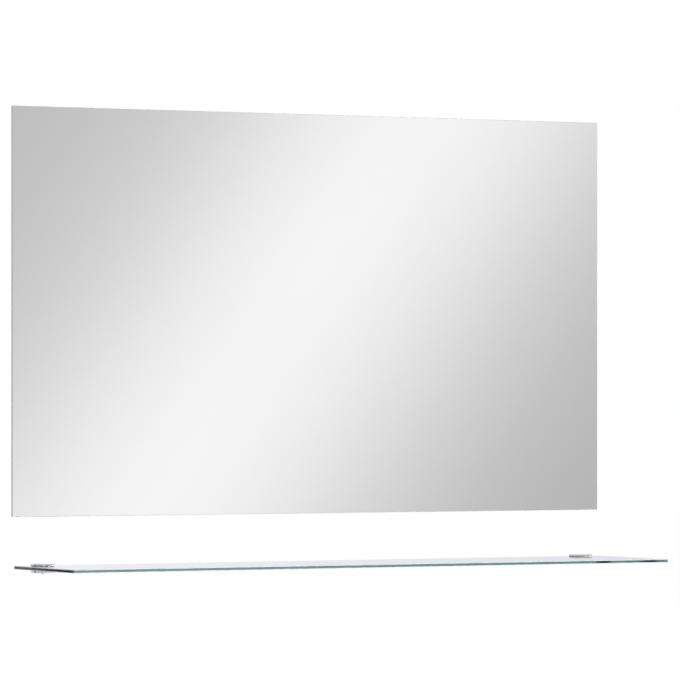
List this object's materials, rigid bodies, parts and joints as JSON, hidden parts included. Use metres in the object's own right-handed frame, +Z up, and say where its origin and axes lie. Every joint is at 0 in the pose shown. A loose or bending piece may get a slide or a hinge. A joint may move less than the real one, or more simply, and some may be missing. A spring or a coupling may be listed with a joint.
{
  "type": "mirror with shelf",
  "caption": "Frameless wall mirror with ground edges, and a clear glass shelf below it held by round chrome clamps on short stems",
  "frame": {"origin": "On the wall's face (plane y = 0), midway between the two clamps, at the height of their wall screws.", "axes": "X runs along the wall, the longest extent; +Y points into the wall, the shortest extent; +Z is up."},
  "size_m": [1, 0.244, 0.683],
  "materials": {
    "mirror glass": "polished, silvered behind, ground arrises",
    "silver and back paint": "grey protective paint over the silver film",
    "shelf glass": "clear float glass with polished edges",
    "chrome": "polished chrome plate on cast zinc",
    "zinc plated steel": "bright zinc plate",
    "foam tape": "white adhesive foam tape",
    "clear bumper": "soft clear polyurethane",
    "nylon": "grey moulded nylon",
    "pad rubber": "soft milky silicone rubber"
  },
  "bodies": {
    "wall_side": {"clamp_body_left": "chrome", "clamp_body_right": "chrome", "upper_pad_left": "pad rubber", "upper_pad_right": "pad rubber", "clamp_wall_screws": "zinc plated steel", "hanger_screws": "zinc plated steel", "wall_plugs": "nylon"},
    "mirror": {"mirror_glass": "mirror glass", "mirror_backing": "silver and back paint", "hanger_plate_left": "zinc plated steel", "hanger_plate_right": "zinc plated steel", "hanger_tape_left": "foam tape", "hanger_tape_right": "foam tape", "bumper_left": "clear bumper", "bumper_right": "clear bumper"},
    "shelf": {"shelf_glass": "shelf glass"},
    "left_pad": {"pressure_disc_left": "zinc plated steel", "lower_pad_left": "pad rubber"},
    "right_pad": {"pressure_disc_right": "zinc plated steel", "lower_pad_right": "pad rubber"},
    "left_screw": {"clamp_screw_left": "zinc plated steel"},
    "right_screw": {"clamp_screw_right": "zinc plated steel"}
  },
  "joints": [
    {"name": "mirror_lift", "type": "slide", "parent": "wall_side", "child": "mirror", "axis": [0, 0, 1], "range_m": [0, 0.012]},
    {"name": "shelf_pull", "type": "slide", "parent": "wall_side", "child": "shelf", "axis": [0, -1, 0], "range_m": [0, 0.045]},
    {"name": "left_pad_travel", "type": "slide", "parent": "wall_side", "child": "left_pad", "axis": [0, 0, 1], "range_m": [-0.00088, 0]},
    {"name": "right_pad_travel", "type": "slide", "parent": "wall_side", "child": "right_pad", "axis": [0, 0, 1], "range_m": [-0.00088, 0]},
    {"name": "left_screw_turn", "type": "hinge", "parent": "left_pad", "child": "left_screw", "pos_m": [-0.459, -0.026, -0.0068], "axis": [0, 0, 1], "range_deg": [-400, 0]},
    {"name": "right_screw_turn", "type": "hinge", "parent": "right_pad", "child": "right_screw", "pos_m": [0.459, -0.026, -0.0068], "axis": [0, 0, 1], "range_deg": [-400, 0]}
  ],
  "couplings": [
    {"joint": "left_screw_turn", "follows": "left_pad_travel", "rad_per_m": 7854},
    {"joint": "right_screw_turn", "follows": "right_pad_travel", "rad_per_m": 7854}
  ]
}
